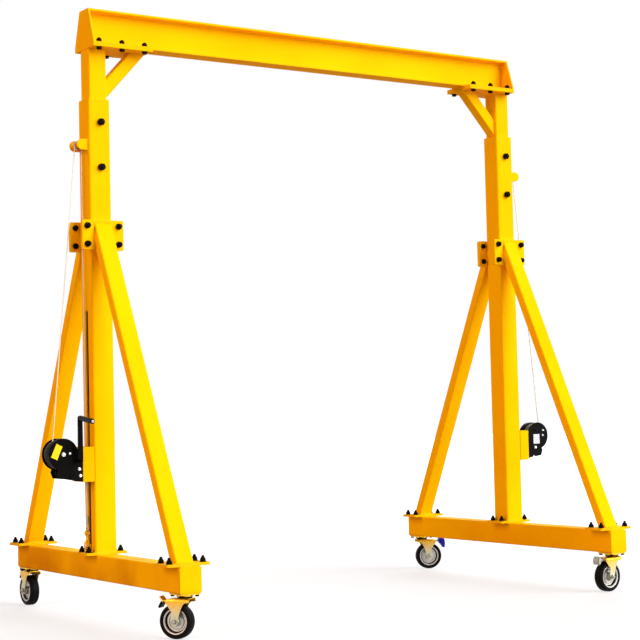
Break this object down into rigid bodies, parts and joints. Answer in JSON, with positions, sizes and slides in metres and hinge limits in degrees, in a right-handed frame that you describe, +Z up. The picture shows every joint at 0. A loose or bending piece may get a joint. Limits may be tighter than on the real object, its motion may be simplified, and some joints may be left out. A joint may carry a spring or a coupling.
{
  "type": "gantry crane",
  "caption": "Mobile gantry crane: an I-beam on telescopic columns raised by hand winches, on braced legs with swivel brake casters.",
  "frame": {"origin": "on the floor, midway between the two legs and midway along the base beams", "axes": "+X along the beam, +Z up, -Y is the side that the picture shows"},
  "size_m": [3.02, 1.7585, 2.855],
  "materials": {
    "yellow_paint": "gloss",
    "black_paint": "satin",
    "zinc_plate": "satin",
    "wire_rope": "satin",
    "grip_plastic": "matt",
    "wheel_centre": "satin",
    "wheel_tread": "satin",
    "pedal_steel": "satin"
  },
  "bodies": {
    "stand": {"left_base_beam": "yellow_paint", "right_base_beam": "yellow_paint", "base_end_caps": "yellow_paint", "base_seat_plates": "yellow_paint", "column_foot_plates": "yellow_paint", "brace_foot_plates": "yellow_paint", "left_column": "yellow_paint", "right_column": "yellow_paint", "collar_plates": "yellow_paint", "brace_head_plates": "yellow_paint", "left_front_brace": "yellow_paint", "left_back_brace": "yellow_paint", "right_front_brace": "yellow_paint", "right_back_brace": "yellow_paint", "pulley_blocks": "yellow_paint", "pulley_sheaves": "zinc_plate", "winch_ropes": "wire_rope", "lift_ropes": "wire_rope", "winch_brackets": "yellow_paint", "left_winch_frame": "black_paint", "right_winch_frame": "black_paint", "gear_guards": "black_paint", "caster_top_plates": "zinc_plate"},
    "lifting_beam": {"main_beam": "yellow_paint", "beam_end_plates": "yellow_paint", "saddle_plates": "yellow_paint", "head_plates": "yellow_paint", "left_inner_column": "yellow_paint", "right_inner_column": "yellow_paint", "knee_braces": "yellow_paint", "rope_hooks": "zinc_plate", "rope_ends": "wire_rope"},
    "left_drum": {"left_winch_drum": "zinc_plate", "left_rope_coil": "wire_rope"},
    "right_drum": {"right_winch_drum": "zinc_plate", "right_rope_coil": "wire_rope"},
    "left_crank": {"left_winch_crank": "black_paint", "left_crank_grip": "grip_plastic"},
    "right_crank": {"right_winch_crank": "black_paint", "right_crank_grip": "grip_plastic"},
    "front_left_fork": {"front_left_caster_fork": "zinc_plate"},
    "front_left_wheel": {"front_left_caster_rim": "wheel_centre", "front_left_caster_tyre": "wheel_tread"},
    "front_left_pedal": {"front_left_caster_pedal": "pedal_steel"},
    "back_left_fork": {"back_left_caster_fork": "zinc_plate"},
    "back_left_wheel": {"back_left_caster_rim": "wheel_centre", "back_left_caster_tyre": "wheel_tread"},
    "back_left_pedal": {"back_left_caster_pedal": "pedal_steel"},
    "back_right_fork": {"back_right_caster_fork": "zinc_plate"},
    "back_right_wheel": {"back_right_caster_rim": "wheel_centre", "back_right_caster_tyre": "wheel_tread"},
    "back_right_pedal": {"back_right_caster_pedal": "pedal_steel"},
    "front_right_fork": {"front_right_caster_fork": "zinc_plate"},
    "front_right_wheel": {"front_right_caster_rim": "wheel_centre", "front_right_caster_tyre": "wheel_tread"},
    "front_right_pedal": {"front_right_caster_pedal": "pedal_steel"}
  },
  "joints": [
    {"name": "beam_lift", "type": "slide", "parent": "stand", "child": "lifting_beam", "axis": [0, 0, 1], "range_m": [0, 1], "deforming": ["lift_ropes"]},
    {"name": "left_drum_spin", "type": "hinge", "parent": "stand", "child": "left_drum", "pos_m": [-1.437, 0, 0.775], "axis": [0, -1, 0], "range_deg": [-4, 1668]},
    {"name": "left_crank_spin", "type": "hinge", "parent": "stand", "child": "left_crank", "pos_m": [-1.364, 0, 0.74546], "axis": [0, -1, 0], "range_deg": [-6660, 16]},
    {"name": "right_drum_spin", "type": "hinge", "parent": "stand", "child": "right_drum", "pos_m": [1.437, 0, 0.775], "axis": [0, 1, 0], "range_deg": [-4, 1668]},
    {"name": "right_crank_spin", "type": "hinge", "parent": "stand", "child": "right_crank", "pos_m": [1.364, 0, 0.74546], "axis": [0, 1, 0], "range_deg": [-6660, 16]},
    {"name": "front_left_swivel", "type": "hinge", "parent": "stand", "child": "front_left_fork", "pos_m": [-1.23, -0.795, 0.184], "axis": [0, 0, 1], "continuous": true},
    {"name": "front_left_roll", "type": "hinge", "parent": "front_left_fork", "child": "front_left_wheel", "pos_m": [-1.25163, -0.76376, 0.075], "axis": [-0.8221, -0.5693, 0], "continuous": true},
    {"name": "front_left_brake", "type": "hinge", "parent": "front_left_fork", "child": "front_left_pedal", "pos_m": [-1.26757, -0.74074, 0.158], "axis": [-0.8221, -0.5693, 0], "range_deg": [0, 14]},
    {"name": "back_left_swivel", "type": "hinge", "parent": "stand", "child": "back_left_fork", "pos_m": [-1.23, 0.795, 0.184], "axis": [0, 0, 1], "continuous": true},
    {"name": "back_left_roll", "type": "hinge", "parent": "back_left_fork", "child": "back_left_wheel", "pos_m": [-1.23, 0.833, 0.075], "axis": [-1, 0, 0], "continuous": true},
    {"name": "back_left_brake", "type": "hinge", "parent": "back_left_fork", "child": "back_left_pedal", "pos_m": [-1.23, 0.861, 0.158], "axis": [-1, 0, 0], "range_deg": [0, 14]},
    {"name": "back_right_swivel", "type": "hinge", "parent": "stand", "child": "back_right_fork", "pos_m": [1.23, 0.795, 0.184], "axis": [0, 0, 1], "continuous": true},
    {"name": "back_right_roll", "type": "hinge", "parent": "back_right_fork", "child": "back_right_wheel", "pos_m": [1.26471, 0.77954, 0.075], "axis": [0.4067, 0.9135, 0], "continuous": true},
    {"name": "back_right_brake", "type": "hinge", "parent": "back_right_fork", "child": "back_right_pedal", "pos_m": [1.29029, 0.76816, 0.158], "axis": [0.4067, 0.9135, 0], "range_deg": [0, 14]},
    {"name": "front_right_swivel", "type": "hinge", "parent": "stand", "child": "front_right_fork", "pos_m": [1.23, -0.795, 0.184], "axis": [0, 0, 1], "continuous": true},
    {"name": "front_right_roll", "type": "hinge", "parent": "front_right_fork", "child": "front_right_wheel", "pos_m": [1.19214, -0.79831, 0.075], "axis": [0.0872, -0.9962, 0], "continuous": true},
    {"name": "front_right_brake", "type": "hinge", "parent": "front_right_fork", "child": "front_right_pedal", "pos_m": [1.16425, -0.80075, 0.158], "axis": [0.0872, -0.9962, 0], "range_deg": [0, 14]}
  ],
  "couplings": [
    {"joint": "left_drum_spin", "follows": "beam_lift", "rad_per_m": 28.986},
    {"joint": "left_crank_spin", "follows": "beam_lift", "rad_per_m": -115.94},
    {"joint": "right_drum_spin", "follows": "beam_lift", "rad_per_m": 28.986},
    {"joint": "right_crank_spin", "follows": "beam_lift", "rad_per_m": -115.94}
  ]
}
